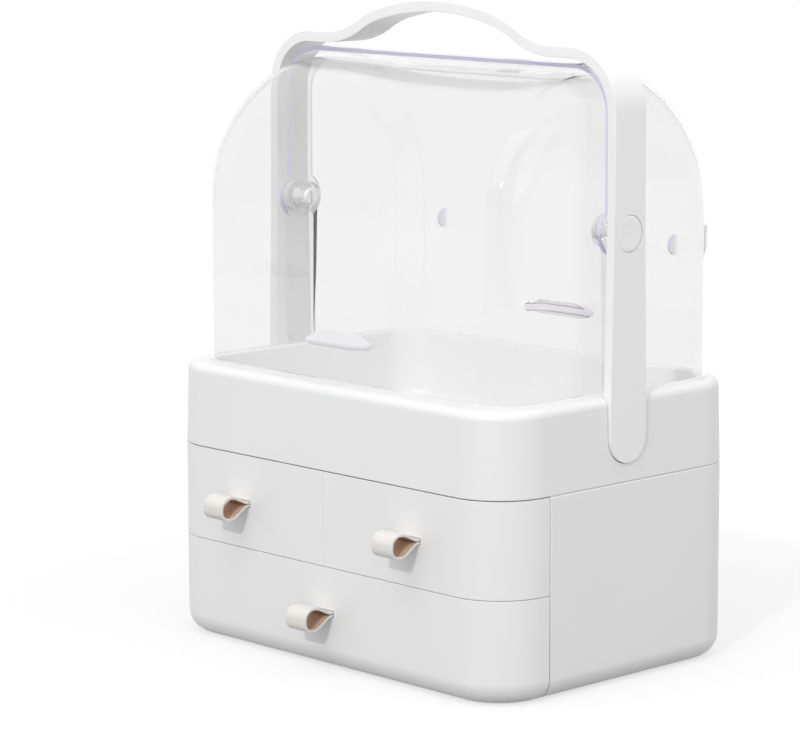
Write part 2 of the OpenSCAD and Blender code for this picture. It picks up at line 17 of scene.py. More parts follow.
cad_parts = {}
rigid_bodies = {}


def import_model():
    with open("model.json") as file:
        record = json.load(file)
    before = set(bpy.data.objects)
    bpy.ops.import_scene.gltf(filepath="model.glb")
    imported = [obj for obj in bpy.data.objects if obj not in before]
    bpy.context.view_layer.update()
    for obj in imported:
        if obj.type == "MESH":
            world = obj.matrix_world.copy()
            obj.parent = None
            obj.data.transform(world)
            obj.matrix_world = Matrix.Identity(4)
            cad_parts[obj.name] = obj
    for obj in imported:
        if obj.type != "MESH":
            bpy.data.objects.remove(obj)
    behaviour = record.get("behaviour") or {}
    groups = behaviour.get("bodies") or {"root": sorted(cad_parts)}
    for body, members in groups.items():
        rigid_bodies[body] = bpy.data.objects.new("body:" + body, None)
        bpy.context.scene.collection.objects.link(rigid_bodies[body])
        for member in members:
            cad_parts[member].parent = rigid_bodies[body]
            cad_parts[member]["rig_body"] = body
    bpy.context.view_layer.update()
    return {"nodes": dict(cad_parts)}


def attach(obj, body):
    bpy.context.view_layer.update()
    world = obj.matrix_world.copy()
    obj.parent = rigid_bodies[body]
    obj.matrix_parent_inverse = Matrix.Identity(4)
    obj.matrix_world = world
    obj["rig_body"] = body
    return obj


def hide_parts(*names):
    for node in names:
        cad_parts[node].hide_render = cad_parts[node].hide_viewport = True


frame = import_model()
print("nodes:", len(frame["nodes"]))

# %% [markdown]
# Drawings of such an object are in millimetres and Blender works in metres. One helper
# turns the one into the other, so that the sizes below read as on the drawing.
#
# Most pieces here are mouldings of even wall: a line is drawn first and then carried
# along a path, as a template is run along plaster. Two moves are enough for that. One
# draws the line straight out, and the other turns it about an axis. Both are bmesh
# operators, and both give back the new line, ready for the next move.

# %% Helpers: millimetres, and the two moves that carry a line
MM = 0.001


def at(x, y, z):
    """A place given in millimetres."""
    return Vector((x, y, z)) * MM


def points_in(geometry):
    return [g for g in geometry if isinstance(g, bmesh.types.BMVert)]


def edges_in(geometry):
    return [g for g in geometry if isinstance(g, bmesh.types.BMEdge)]


def draw_out(bm, line, by):
    """Draws a line, or a single point, straight out and returns its new end."""
    made = bmesh.ops.extrude_face_region(bm, geom=line)["geom"]
    new = points_in(made)
    bmesh.ops.translate(bm, verts=new, vec=by)
    return new + [e for e in edges_in(made) if all(v in new for v in e.verts)]


def turn(bm, line, centre, axis, degrees, steps):
    """Turns a line, or a single point, about an axis and returns its new end."""
    made = bmesh.ops.spin(bm, geom=line, cent=centre, axis=axis,
                          angle=math.radians(degrees), steps=steps)["geom_last"]
    return points_in(made) + edges_in(made)


def drawn_line(bm):
    """All that has been drawn so far, as one line."""
    return bm.verts[:] + bm.edges[:]


# %% [markdown]
# A surface that is built by turning and drawing may come out with its faces towards
# the inside. Doubles are merged first, then the faces are made to agree, and then they
# are compared with the direction away from a place inside the piece. Only after that
# does a wall get its thickness.

# %% Helpers: outward faces, and a mesh that becomes a piece
def merge(bm, closer_than=0.01):
    bmesh.ops.remove_doubles(bm, verts=bm.verts[:], dist=closer_than * MM)


def face_outwards(bm, inside):
    """Merges doubles and points all faces away from a place inside."""
    merge(bm)
    bmesh.ops.recalc_face_normals(bm, faces=bm.faces[:])
    outward = sum(f.calc_area() * f.normal.dot(f.calc_center_median() - inside)
                  for f in bm.faces)
    if outward < 0:
        bmesh.ops.reverse_faces(bm, faces=bm.faces[:])


def put_in_scene(name, data):
    """An object with this name and data, in the scene."""
    thing = bpy.data.objects.new(name, data)
    bpy.context.scene.collection.objects.link(thing)
    return thing


def make_object(name, bm, *finishes):
    """Turns a bmesh into an object with these finishes in its slots."""
    mesh = bpy.data.meshes.new(name)
    bm.to_mesh(mesh)
    bm.free()
    for finish in finishes:
        mesh.materials.append(finish)
    return put_in_scene(name, mesh)


def stands_for(piece, node):
    """The piece takes the place of a CAD node, on the same body."""
    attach(piece, frame["nodes"][node]["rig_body"])
    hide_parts(node)
    print(f"{piece.name}: {len(piece.data.polygons)} faces, stands for {node}")


# %% [markdown]
# Walls, small radii and cuts are left to modifiers. Solidify gives a skin its wall,
# Bevel breaks the edges, which is what lets them catch a line of light, and Weighted
# Normal keeps the flats flat beside those radii. A Boolean cuts pockets and bores. The
# Booleans are applied at once, so that the cutting shapes can be thrown away.

# %% Helpers: wall, soft edges, cuts, smooth shading
def wall(piece, thickness, inner_finish=0):
    """Gives a skin a wall, measured inwards."""
    mod = piece.modifiers.new("wall", "SOLIDIFY")
    mod.thickness = thickness * MM
    mod.offset = -1
    mod.use_even_offset = True
    mod.material_offset = inner_finish


def soft_edges(piece, width, angle=35, segments=3, by_weight=False):
    """Rounds every edge sharper than the angle, or those that carry a weight."""
    mod = piece.modifiers.new("soft edges", "BEVEL")
    mod.width = width * MM
    mod.segments = segments
    mod.limit_method = "WEIGHT" if by_weight else "ANGLE"
    mod.angle_limit = math.radians(angle)
    mod.use_clamp_overlap = True
    mod.miter_outer = "MITER_ARC"


def smooth(piece, angle=35):
    """Shades the curved faces smoothly and keeps the flats flat."""
    piece.data.shade_smooth()
    piece.data.set_sharp_from_angle(angle=math.radians(angle))
    mod = piece.modifiers.new("flat flats", "WEIGHTED_NORMAL")
    mod.keep_sharp = True
    mod.weight = 80


def apply_modifiers(piece):
    """Bakes the modifiers so far into the mesh."""
    bpy.context.view_layer.update()
    seen = piece.evaluated_get(bpy.context.evaluated_depsgraph_get())
    mesh = bpy.data.meshes.new_from_object(seen)
    piece.modifiers.clear()
    piece.data = mesh


def cut(piece, cutter, operation="DIFFERENCE"):
    """Cuts the piece with another object, or joins it to it, or keeps what they share."""
    mod = piece.modifiers.new("cut", "BOOLEAN")
    mod.operation = operation
    mod.object = cutter
    mod.solver = "EXACT"
    apply_modifiers(piece)
    bpy.data.objects.remove(cutter)


def thicken(bm, by):
    """Draws flat faces out into a closed solid."""
    made = bmesh.ops.extrude_face_region(bm, geom=bm.faces[:], use_keep_orig=True)["geom"]
    bmesh.ops.translate(bm, verts=points_in(made), vec=by)
    bmesh.ops.recalc_face_normals(bm, faces=bm.faces[:])


def block(name, bm, by):
    """Fills a closed outline and draws it out, as a cutter or a blank."""
    merge(bm)
    bmesh.ops.contextual_create(bm, geom=bm.edges[:])
    thicken(bm, by)
    return make_object(name, bm)


def rod(x0, x1, diameter, y, z, sides=64):
    """A rod along X between two places, as a cutter or a blank."""
    bm = bmesh.new()
    place = Matrix.Translation(at(x0, y, z)) @ Matrix.Rotation(math.radians(90), 4, "Y")
    bmesh.ops.create_circle(bm, cap_ends=True, segments=sides, radius=diameter / 2 * MM,
                            matrix=place)
    thicken(bm, at(x1 - x0, 0, 0))
    return make_object("rod", bm)


# %% [markdown]
# ## Finishes
#
# Everything white is moulded plastic with a satin gloss. It isn't one flat colour when
# seen close: the mould leaves a very fine grain, the gloss changes a little where the
# melt flowed, and hands leave faint duller spots. A node group gives these as a tone, a
# roughness and a height, so that the housing, the handle and the clear parts can share
# it with their own values. It holds only textures and sums. The shader stays in each
# material, where an export can read it.

# %% The node group for moulded plastic
def add_node(tree, kind, **values):
    """A node, with its sockets set to values or linked to other nodes' outputs."""
    node = tree.nodes.new("ShaderNode" + kind)
    for socket, value in values.items():
        feed(tree, value, node.inputs[socket.replace("_", " ")])
    return node


def feed(tree, value, socket):
    """Gives a socket a plain value, or a link from another node's output."""
    if isinstance(value, bpy.types.NodeSocket):
        tree.links.new(value, socket)
    else:
        socket.default_value = value


def sum_node(tree, operation, a, b, clamp=False):
    """A sum of two values, either of which may be a plain number."""
    node = tree.nodes.new("ShaderNodeMath")
    node.operation = operation
    node.use_clamp = clamp
    feed(tree, a, node.inputs[0])
    feed(tree, b, node.inputs[1])
    return node.outputs[0]


def ramp(tree, value, times, plus):
    """A value times one number, plus another."""
    return sum_node(tree, "ADD", sum_node(tree, "MULTIPLY", value, times), plus)


def grey(value):
    return (value, value, value, 1)


def noise(tree, vector, scale, detail=3.0, roughness=0.5):
    return add_node(tree, "TexNoise", Vector=vector, Scale=scale, Detail=detail,
                    Roughness=roughness).outputs["Fac"]


moulded = bpy.data.node_groups.new("moulded plastic", "ShaderNodeTree")
for name, kind, way in (("Vector", "NodeSocketVector", "INPUT"),
                        ("Gloss", "NodeSocketFloat", "INPUT"),
                        ("Smudges", "NodeSocketFloat", "INPUT"),
                        ("Tone", "NodeSocketFloat", "OUTPUT"),
                        ("Roughness", "NodeSocketFloat", "OUTPUT"),
                        ("Height", "NodeSocketFloat", "OUTPUT")):
    moulded.interface.new_socket(name, in_out=way, socket_type=kind)
inside = moulded.nodes.new("NodeGroupInput")
outside = moulded.nodes.new("NodeGroupOutput")
flow = noise(moulded, inside.outputs["Vector"], 14.0, 2.0)
spots = noise(moulded, inside.outputs["Vector"], 55.0, 4.0, 0.6)
grain = noise(moulded, inside.outputs["Vector"], 2600.0, 2.0)
spread = sum_node(moulded, "SUBTRACT", flow, 0.5)
dull = sum_node(moulded, "MULTIPLY", sum_node(moulded, "SUBTRACT", spots, 0.5, True),
                inside.outputs["Smudges"])
feed(moulded, ramp(moulded, spread, 0.035, 1.0), outside.inputs["Tone"])
rough = ramp(moulded, spread, 0.12, inside.outputs["Gloss"])
feed(moulded, sum_node(moulded, "ADD", rough, dull, True), outside.inputs["Roughness"])
feed(moulded, ramp(moulded, flow, 4.0, grain), outside.inputs["Height"])
print("moulded plastic group:", len(moulded.nodes), "nodes")

# %% [markdown]
# Each material starts the same way: a Principled shader, Object coordinates, and the
# group feeding colour, roughness and a Bump node. The coordinates are the object's own,
# so the grain keeps its scale on every piece and moves with it when a drawer opens.

# %% The white plastics
def new_finish(name, colour, roughness=0.4):
    """A material with a Principled shader, its node tree and its coordinates."""
    finish = bpy.data.materials.new(name)
    finish.use_nodes = True
    tree = finish.node_tree
    shader = tree.nodes["Principled BSDF"]
    shader.inputs["Base Color"].default_value = (*colour, 1)
    shader.inputs["Roughness"].default_value = roughness
    return finish, tree, shader, add_node(tree, "TexCoord").outputs["Object"]


def bump(tree, shader, height, distance):
    """A height in millimetres, as small dents and bumps in the surface."""
    node = add_node(tree, "Bump", Strength=1.0, Distance=distance * MM, Height=height)
    feed(tree, node.outputs["Normal"], shader.inputs["Normal"])


def tint(tree, shader, tone):
    """Makes the shader's colour lighter or darker by a tone near 1."""
    node = add_node(tree, "VectorMath")
    node.operation = "SCALE"
    feed(tree, shader.inputs["Base Color"].default_value[:3], node.inputs[0])
    feed(tree, tone, node.inputs["Scale"])
    feed(tree, node.outputs["Vector"], shader.inputs["Base Color"])


def use_moulded_group(tree, shader, place, gloss, smudges):
    """Feeds a shader's colour and roughness from the group, and returns the height."""
    group = tree.nodes.new("ShaderNodeGroup")
    group.node_tree = moulded
    for socket, value in (("Vector", place), ("Gloss", gloss), ("Smudges", smudges)):
        feed(tree, value, group.inputs[socket])
    tint(tree, shader, group.outputs["Tone"])
    feed(tree, group.outputs["Roughness"], shader.inputs["Roughness"])
    return group.outputs["Height"]


def moulded_finish(name, colour, gloss, smudges, grain_height):
    """A white plastic: its gloss, how much smudges dull it, and its grain in millimetres."""
    finish, tree, shader, place = new_finish(name, colour)
    height = use_moulded_group(tree, shader, place, gloss, smudges)
    bump(tree, shader, height, grain_height)
    return finish


white_body = moulded_finish("white_body", (0.82, 0.82, 0.822), 0.36, 0.25, 0.006)
# The handle's white is lighter than the body's. Part of that is a lighter plastic, and part is
# painted light: the stronger light that falls on the top of the object.
white_handle_painted_light = moulded_finish("white_handle_painted_light", (0.87, 0.87, 0.87), 0.30, 0.20, 0.004)
white_inner = moulded_finish("white_inner", (0.80, 0.80, 0.80), 0.45, 0.15, 0.008)
print("white plastics:", [m.name for m in (white_body, white_handle_painted_light, white_inner)])

# %% [markdown]
# The covers are clear and all but colourless. A real cover shows itself by three
# things: a faint veil, where light is lost in two walls, reflections along its curves,
# and its cut edges, which gather light and look violet. A thin wall hardly bends what
# is seen through it, so the body of the plastic bends light very little, and the gloss
# of the surface is a coat over it. Glass shadows would come out black without caustics,
# so a shadow ray, and the light that white surfaces throw at each other, meet a plain
# transparent surface instead. The edges get materials of their own. The front finger
# tab is a half-clear white, which is painted reflection: it stands in for the bright
# surroundings mirrored in its clear top. The rear tab is a faint lilac.

# %% The clear plastics
BODY_IOR, COAT_IOR, COAT_ROUGHNESS, CLEAR_SMUDGES = 1.12, 1.49, 0.03, 0.05


def either(tree, *rays):
    """1 for rays of any of these kinds, and 0 for all others."""
    path = add_node(tree, "LightPath").outputs
    found = path[rays[0]]
    for ray in rays[1:]:
        found = sum_node(tree, "MAXIMUM", found, path[ray])
    return found


def choose(tree, share, first, second, output):
    """Mixes two shaders by a share of the second, as what an output shows."""
    mix = tree.nodes.new("ShaderNodeMixShader")
    for value, socket in zip((share, first.outputs[0], second.outputs[0]), mix.inputs):
        feed(tree, value, socket)
    feed(tree, mix.outputs[0], output.inputs["Surface"])


def clear_finish(name, colour, gloss, transmission, share):
    """A clear plastic. Of the light that passes as shadow or diffuse rays a share is kept."""
    finish, tree, shader, place = new_finish(name, colour)
    use_moulded_group(tree, shader, place, gloss, CLEAR_SMUDGES)
    for socket, value in (("Transmission Weight", transmission), ("IOR", BODY_IOR),
                          ("Coat Weight", 1.0), ("Coat Roughness", COAT_ROUGHNESS),
                          ("Coat IOR", COAT_IOR)):
        shader.inputs[socket].default_value = value
    clear = add_node(tree, "BsdfTransparent", Color=grey(share))
    choose(tree, either(tree, "Is Shadow Ray", "Is Diffuse Ray"), shader, clear,
           tree.nodes["Material Output"])
    return finish


clear_wall = clear_finish("clear_wall", (0.892, 0.892, 0.891), 0.02, 1.0, 0.997)
clear_rim = clear_finish("clear_rim", (0.70, 0.66, 0.88), 0.35, 0.25, 0.9)
pale_rim = clear_finish("pale_rim", (0.86, 0.85, 0.93), 0.30, 0.60, 0.95)
# Painted reflection: this half-clear white stands in for the bright surroundings mirrored in
# the top of a clear tab.
painted_reflection_white = clear_finish("painted_reflection_white", (0.86, 0.85, 0.87), 0.45, 0.45, 0.8)
lilac = clear_finish("lilac", (0.88, 0.84, 0.90), 0.08, 0.92, 0.9)
print("clear plastics:", [m.name for m in (clear_wall, clear_rim, pale_rim, painted_reflection_white, lilac)])

# %% [markdown]
# The pulls are strips of split leather: a smooth cream face with a small pebbled grain,
# and a tan, fibrous back that shows inside the loop. The grain is a Voronoi pattern, in
# which each cell is one pebble, broken up by a little noise. The back is noise drawn
# out along the strip.

# %% The leathers
def cream_leather():
    """The smooth face: pebbles with dark furrows between them."""
    finish, tree, shader, place = new_finish("cream_leather", (0.79, 0.76, 0.73), 0.5)
    cells = add_node(tree, "TexVoronoi", Vector=place, Scale=1300.0)
    cells.feature = "DISTANCE_TO_EDGE"
    pebble = sum_node(tree, "MULTIPLY", cells.outputs["Distance"], 2.2, True)
    cloud = noise(tree, place, 260.0, 4.0)
    tint(tree, shader, ramp(tree, pebble, 0.10, ramp(tree, cloud, 0.08, 0.90)))
    feed(tree, ramp(tree, cloud, 0.25, 0.38), shader.inputs["Roughness"])
    bump(tree, shader, sum_node(tree, "ADD", pebble, cloud), 0.05)
    return finish


def tan_leather():
    """The rough back: fibres drawn out along the strip."""
    finish, tree, shader, place = new_finish("tan_leather", (0.60, 0.41, 0.30), 0.85)
    along = add_node(tree, "Mapping", Vector=place, Scale=(1.0, 0.35, 0.35))
    fibres = noise(tree, along.outputs["Vector"], 2400.0, 5.0, 0.65)
    cloud = noise(tree, place, 160.0, 3.0)
    tint(tree, shader, ramp(tree, fibres, 0.5, ramp(tree, cloud, 0.5, 0.5)))
    shader.inputs["Sheen Weight"].default_value = 0.15
    bump(tree, shader, fibres, 0.06)
    return finish


cream = cream_leather()
tan = tan_leather()
print("leathers:", cream.name, tan.name)

# %% [markdown]
# Two finishes are left, both for things that are seldom seen. The screws are steel with
# fine marks all over, and the pads are dark grey rubber, matt and slightly open.

# %% Steel and rubber
def marked_finish(name, colour, metallic, even, marks, tone, roughness, depth):
    """A finish whose tone and roughness follow one noise, each as (times, plus)."""
    finish, tree, shader, place = new_finish(name, colour, even)
    shader.inputs["Metallic"].default_value = metallic
    cloud = noise(tree, place, *marks)
    tint(tree, shader, ramp(tree, cloud, *tone))
    feed(tree, ramp(tree, cloud, *roughness), shader.inputs["Roughness"])
    bump(tree, shader, cloud, depth)
    return finish


steel = marked_finish("screw_metal", (0.62, 0.62, 0.63), 1.0, 0.32, (3500.0, 3.0),
                      (0.2, 0.9), (0.2, 0.2), 0.01)
rubber = marked_finish("pad_rubber", (0.055, 0.055, 0.058), 0.0, 0.8, (1800.0, 4.0, 0.7),
                       (1.0, 0.5), (0.3, 0.6), 0.04)
print("steel and rubber:", steel.name, rubber.name)

# %% [markdown]
# ## The drawer fronts
#
# Each front is one skin that wraps round the body's rounded corners. A flat panel with
# bent ends would show a kink. Here the upright section is drawn once, at the end of the
# right-hand return, and carried round: along the side, round the corner, across the
# front, and back round the other corner. The wide front's section has a large radius at
# its foot and turns in under the drawer. The slot for the pull is cut by four planes
# that bound a window, and the face in the window is deleted.

# %% Sizes of the body, and the helper that carries a section round its front
HALF_W, FRONT_Y, CORNER_R = 131.5, -93.0, 32.0
FOOT_R = 12.0
RETURN_Y = -56.6
FRONT_T = 3.0
CORNER_STEPS = 14
PULL_HALF_W, PULL_HALF_H = 7.8, 1.8
ALONG_X, ALONG_Y, UP = (1, 0, 0), (0, 1, 0), (0, 0, 1)


def round_corner(bm, line, x, y):
    """Turns a line round an upright corner whose centre lies at a place."""
    return turn(bm, line, at(x, y, 0), UP, -90, CORNER_STEPS)


def round_the_front(bm, line):
    """Carries a section from the right-hand return to the left-hand one."""
    corner_x, corner_y = HALF_W - CORNER_R, FRONT_Y + CORNER_R
    line = draw_out(bm, line, at(0, corner_y - RETURN_Y, 0))
    line = round_corner(bm, line, corner_x, corner_y)
    line = draw_out(bm, line, at(-2 * corner_x, 0, 0))
    line = round_corner(bm, line, -corner_x, corner_y)
    draw_out(bm, line, at(0, RETURN_Y - corner_y, 0))


def cut_window(bm, x, z):
    """Cuts the window for a pull in the flat of a front."""
    def flat():
        return [f for f in bm.faces if all(abs(v.co.y - FRONT_Y * MM) < 1e-6 for v in f.verts)]
    for way, level in ((ALONG_X, x - PULL_HALF_W), (ALONG_X, x + PULL_HALF_W),
                       (UP, z - PULL_HALF_H), (UP, z + PULL_HALF_H)):
        faces = flat()
        rims = {e for f in faces for e in f.edges}
        corners = {v for f in faces for v in f.verts}
        bmesh.ops.bisect_plane(bm, geom=faces + list(rims) + list(corners),
                               plane_co=Vector(way) * level * MM, plane_no=way)
    middle = at(x, FRONT_Y, z)
    window = [f for f in flat() if (f.calc_center_median() - middle).length < 0.5 * MM]
    bmesh.ops.delete(bm, geom=window, context="FACES")


# %% The wide drawer's front
LOW_H, LOW_PULL_Z = 55.35, 30.6

bm = bmesh.new()
foot = [bm.verts.new(at(HALF_W - FOOT_R, RETURN_Y, 0))]
foot = turn(bm, foot, at(HALF_W - FOOT_R, RETURN_Y, FOOT_R), ALONG_Y, -90, 10)
draw_out(bm, foot, at(0, 0, LOW_H - FOOT_R))
round_the_front(bm, drawn_line(bm))
cut_window(bm, 0, LOW_PULL_Z)
face_outwards(bm, at(0, 0, LOW_H / 2))
bottom_front = make_object("bottom_drawer_face", bm, white_body)
wall(bottom_front, FRONT_T)
soft_edges(bottom_front, 0.35)
smooth(bottom_front)
stands_for(bottom_front, "bottom_drawer_front")

# %% [markdown]
# The small fronts meet in the middle with a thin shadow line. The right one is made as
# the wide one is, and then cut off beside the middle. The left one is the same skin,
# mirrored. A mirror turns a skin inside out, so its faces are set right afterwards.

# %% The two small drawer fronts
HIGH_Z0, HIGH_Z1, HIGH_PULL_Z, HIGH_PULL_X = 55.65, 106.5, 80.3, 66.5
SEAM = 0.10


def small_front(side):
    """The front of a small drawer: side 1 is the right one, -1 the left one."""
    bm = bmesh.new()
    foot = [bm.verts.new(at(HALF_W, RETURN_Y, HIGH_Z0))]
    draw_out(bm, foot, at(0, 0, HIGH_Z1 - HIGH_Z0))
    round_the_front(bm, drawn_line(bm))
    bmesh.ops.bisect_plane(bm, geom=bm.faces[:] + drawn_line(bm), clear_inner=True,
                           plane_co=at(SEAM / 2, 0, 0), plane_no=ALONG_X)
    cut_window(bm, HIGH_PULL_X, HIGH_PULL_Z)
    bmesh.ops.scale(bm, verts=bm.verts[:], vec=(side, 1, 1))
    face_outwards(bm, at(side * HALF_W / 2, 0, (HIGH_Z0 + HIGH_Z1) / 2))
    name = "right" if side > 0 else "left"
    piece = make_object(f"{name}_drawer_face", bm, white_body)
    wall(piece, FRONT_T)
    soft_edges(piece, 0.25)
    smooth(piece)
    stands_for(piece, f"{name}_drawer_front")


small_front(1)
small_front(-1)

# %% [markdown]
# ## The housing
#
# The housing's own form is right in the CAD model, but its edges are knife sharp, and a
# real moulding shows a thin bright line where the side meets the drawer fronts and
# where it meets the tray. So a copy of its mesh is merged, its flat faces are made
# whole, and only those two outer edges get a weight, which the Bevel modifier reads.

# %% The housing with its two soft edges
HOUSING_FRONT_Y, LEDGE_Z = -56.0, 106.4
SHARP = math.radians(50)


def how_far_out(v):
    """How far a point lies from the line of the corner centres, in millimetres."""
    across = max(abs(v.co.x) / MM - (HALF_W - CORNER_R), 0)
    back = max(abs(v.co.y) / MM - (-FRONT_Y - CORNER_R), 0)
    return math.hypot(across, back)


bm = bmesh.new()
bm.from_mesh(frame["nodes"]["drawer_housing"].data)
merge(bm, closer_than=0.001)
bmesh.ops.dissolve_limit(bm, angle_limit=math.radians(1), verts=bm.verts[:],
                         edges=bm.edges[:], use_dissolve_boundaries=False)
weight = bm.edges.layers.float.new("bevel_weight_edge")
soft = 0
for edge in bm.edges:
    in_front = all(abs(v.co.y / MM - HOUSING_FRONT_Y) < 0.02 for v in edge.verts)
    on_ledge = all(abs(v.co.z / MM - LEDGE_Z) < 0.02 for v in edge.verts)
    outside = all(how_far_out(v) > CORNER_R - 0.05 for v in edge.verts)
    if outside and (in_front or on_ledge) and edge.calc_face_angle(0.0) > SHARP:
        edge[weight] = 1.0
        soft += 1
print("housing:", len(bm.faces), "faces,", soft, "edges to soften")
housing = make_object("housing_shell", bm, white_body)
soft_edges(housing, 0.6, by_weight=True)
housing.modifiers["soft edges"].use_clamp_overlap = False
smooth(housing)
stands_for(housing, "drawer_housing")

# %% [markdown]
# ## The tray
#
# The tray is moulded with a slight taper, so that it leaves its mould: it is about a
# millimetre narrower on each side at the top. Its outer section runs up the tapered
# side and over the shoulder, and its inner one up from the basin's floor and over a
# small radius at the rim. The two are carried round separately, because their corners
# have other centres. The flat rim between the two rings they end in is filled as one
# face with a hole: a bridge between the rings would have to be told where to start.

# %% The tray's outer skin, basin and rim
TRAY_Z, RIM_Z, SHOULDER_R, TAPER = 107.0, 152.0, 5.0, 1.1
BASIN_X, BASIN_Y0, BASIN_Y1, BASIN_R = 117.0, -77.0, 83.0, 20.0
BASIN_FLOOR, BASIN_FOOT_R, RIM_R = 112.0, 6.0, 1.0


def round_the_body(bm, line, half_w, y0, y1, radius):
    """Carries a section, drawn at the front end of the right side, once round a block."""
    x = half_w - radius
    line = round_corner(bm, line, x, y0 + radius)
    line = draw_out(bm, line, at(-2 * x, 0, 0))
    line = round_corner(bm, line, -x, y0 + radius)
    line = draw_out(bm, line, at(0, y1 - y0 - 2 * radius, 0))
    line = round_corner(bm, line, -x, y1 - radius)
    line = draw_out(bm, line, at(2 * x, 0, 0))
    line = round_corner(bm, line, x, y1 - radius)
    draw_out(bm, line, at(0, y0 - y1 + 2 * radius, 0))


def ring_at(bm, z):
    """The open ring of edges at a level."""
    return [e for e in bm.edges if e.is_boundary
            and all(abs(v.co.z - z * MM) < 1e-6 for v in e.verts)]


bm = bmesh.new()
section = [bm.verts.new(at(HALF_W, FRONT_Y + CORNER_R, TRAY_Z))]
section = draw_out(bm, section, at(-TAPER, 0, RIM_Z - SHOULDER_R - TRAY_Z))
turn(bm, section, at(HALF_W - TAPER - SHOULDER_R, 0, RIM_Z - SHOULDER_R), ALONG_Y, -90, 7)
round_the_body(bm, drawn_line(bm), HALF_W, FRONT_Y, -FRONT_Y, CORNER_R)
outer_faces = len(bm.faces)

basin = bmesh.new()
section = [basin.verts.new(at(BASIN_X - BASIN_FOOT_R, BASIN_Y0 + BASIN_R, BASIN_FLOOR))]
section = turn(basin, section, at(BASIN_X - BASIN_FOOT_R, 0, BASIN_FLOOR + BASIN_FOOT_R),
               ALONG_Y, -90, 7)
section = draw_out(basin, section, at(0, 0, RIM_Z - RIM_R - BASIN_FLOOR - BASIN_FOOT_R))
turn(basin, section, at(BASIN_X + RIM_R, 0, RIM_Z - RIM_R), ALONG_Y, 90, 4)
round_the_body(basin, drawn_line(basin), BASIN_X, BASIN_Y0, BASIN_Y1, BASIN_R)
basin_mesh = bpy.data.meshes.new("basin")
basin.to_mesh(basin_mesh)
basin.free()
bm.from_mesh(basin_mesh)
bpy.data.meshes.remove(basin_mesh)

merge(bm)
bmesh.ops.triangle_fill(bm, edges=ring_at(bm, RIM_Z), normal=UP, use_beauty=True)
bmesh.ops.holes_fill(bm, edges=ring_at(bm, BASIN_FLOOR), sides=0)
bmesh.ops.holes_fill(bm, edges=ring_at(bm, TRAY_Z), sides=0)
face_outwards(bm, at(0, 0, TRAY_Z + 2))
print("tray skin:", outer_faces, "outer faces,", len(bm.faces), "in all, open edges:",
      sum(e.is_boundary for e in bm.edges))
tray = make_object("tray_body", bm, white_body)

# %% [markdown]
# The arms of the handle stand in pockets that are open to the outside. The cutter is an
# arm seen from the side, with a round foot and straight flanks that close in towards
# the top, drawn out along X. The same outline gives the arm its form later, without
# the gap. The screws that hold the arms have their heads in the basin's wall, and each
# gets its small round recess.

# %% The pockets for the handle's arms, and the recesses of its screws
ARM_IN, ARM_OUT, BAND_T = 127.2, 132.5, 5.8
FOOT_Z, FOOT_W, TOP_W, TAPER_Z = 117.0, 26.4, 22.8, 252.0
SLOT_GAP = 0.25
BEYOND = 5.0  # how far a cutter reaches past what it cuts
SCREW_Y, SCREW_Z, SCREW_HEAD, SCREW_DEPTH = 6.5, 126.0, 6.0, 1.9


def arm_cutter(x0, x1, gap):
    """A block with the side outline of an arm, wider by the gap all round."""
    r, top = FOOT_W / 2 + gap, TOP_W / 2 + gap
    bm = bmesh.new()
    line = [bm.verts.new(at(x0, r, FOOT_Z + FOOT_W / 2))]
    line = turn(bm, line, at(x0, 0, FOOT_Z + FOOT_W / 2), ALONG_X, -180, 24)
    line = draw_out(bm, line, at(0, 0, RIM_Z - FOOT_Z - FOOT_W / 2))
    line = draw_out(bm, line, at(0, r - top, TAPER_Z - RIM_Z))
    line = draw_out(bm, line, at(0, 2 * top, 0))
    line = draw_out(bm, line, at(0, r - top, RIM_Z - TAPER_Z))
    draw_out(bm, line, at(0, 0, FOOT_Z + FOOT_W / 2 - RIM_Z))
    return block("arm cutter", bm, at(x1 - x0, 0, 0))


for side in (-1, 1):
    cut(tray, arm_cutter(side * (ARM_IN - SLOT_GAP), side * (ARM_OUT + BEYOND), SLOT_GAP))
    for y in (-SCREW_Y, SCREW_Y):
        cut(tray, rod(side * (BASIN_X - 1), side * (BASIN_X + SCREW_DEPTH), SCREW_HEAD,
                      y, SCREW_Z, 32))
soft_edges(tray, 0.4, segments=2)
smooth(tray)
stands_for(tray, "top_tray")

# %% [markdown]
# ## The handle
#
# The handle is a flat band, as if bent from one strip: a raised grip in the middle, two
# flat shoulders, two round corners and two long arms. A curve with a bevel object could
# give such a band, but its width changes and its edges differ along the way. So half of
# the band's outer line, an edge as wide as the band, is carried from the middle to the
# foot. The arm's widening comes from scaling the new line, and the round foot from a
# few short steps that follow a circle. Then it is mirrored and gets its wall.

# %% The handle's band
TOTAL_H, SHOULDER_Z, HANDLE_R = 350.0, 330.0, 32.0
CROWN_R, CROWN_HALF_W = 170.0, 45.0
CROWN_A = math.degrees(math.asin(CROWN_HALF_W / CROWN_R))
TURN_X, TURN_Z, TURN_A = 29.12, 286.08, 31.0
HOLLOW_X, HOLLOW_Z = 87.10, 382.58
PIVOT_Z = 236.0
ARM_TOP = SHOULDER_Z - HANDLE_R
ARM_LEVELS = (ARM_TOP - 20, TAPER_Z, 232.0, 212.0, 192.0, 172.0, RIM_Z, FOOT_Z + FOOT_W / 2)
FOOT_STEPS, FOOT_STEP_A = 11, 7.8


def widen(bm, line, width):
    """Sets the width of the band at its newest line."""
    ends = points_in(line)
    now = max(v.co.y for v in ends)
    bmesh.ops.scale(bm, verts=ends, vec=(1, width / 2 * MM / now, 1))


